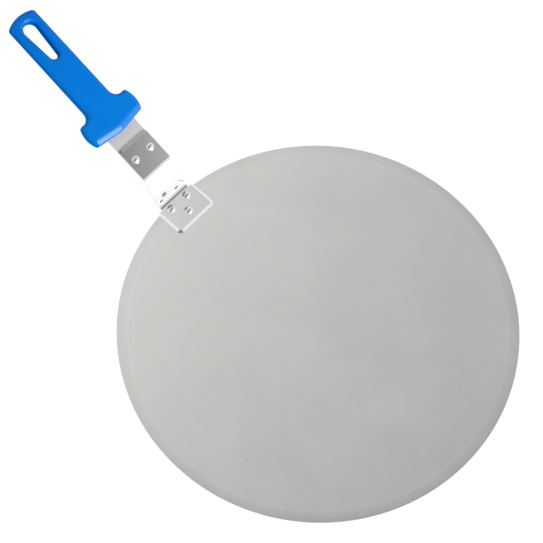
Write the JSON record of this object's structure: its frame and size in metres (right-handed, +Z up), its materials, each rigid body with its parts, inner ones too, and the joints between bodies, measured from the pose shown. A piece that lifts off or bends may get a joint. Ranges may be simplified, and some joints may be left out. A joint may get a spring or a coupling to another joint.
{
  "type": "pizza peel",
  "caption": "Round flat steel peel with a double-bent riveted bracket and a raised, sloping moulded grip with a collar and a hanging hole.",
  "frame": {"origin": "centre of the blade on its underside, the face the peel rests on", "axes": "+X along the peel away from the grip, +Y to the left of a user holding the grip, +Z up out of the blade's top face"},
  "size_m": [0.5065, 0.33, 0.0995],
  "materials": {
    "blade_steel": "satin",
    "bracket_steel": "bright rolled",
    "tang_steel": "satin",
    "grip_plastic": "smooth semi-matt moulding",
    "rivet_steel": "polished"
  },
  "bodies": {
    "root": {"blade": "blade_steel", "bracket": "bracket_steel", "tang": "tang_steel", "handle": "grip_plastic", "blade_rivet_front": "rivet_steel", "blade_rivet_left": "rivet_steel", "blade_rivet_right": "rivet_steel", "tang_rivet_left": "rivet_steel", "tang_rivet_right": "rivet_steel"}
  },
  "joints": []
}
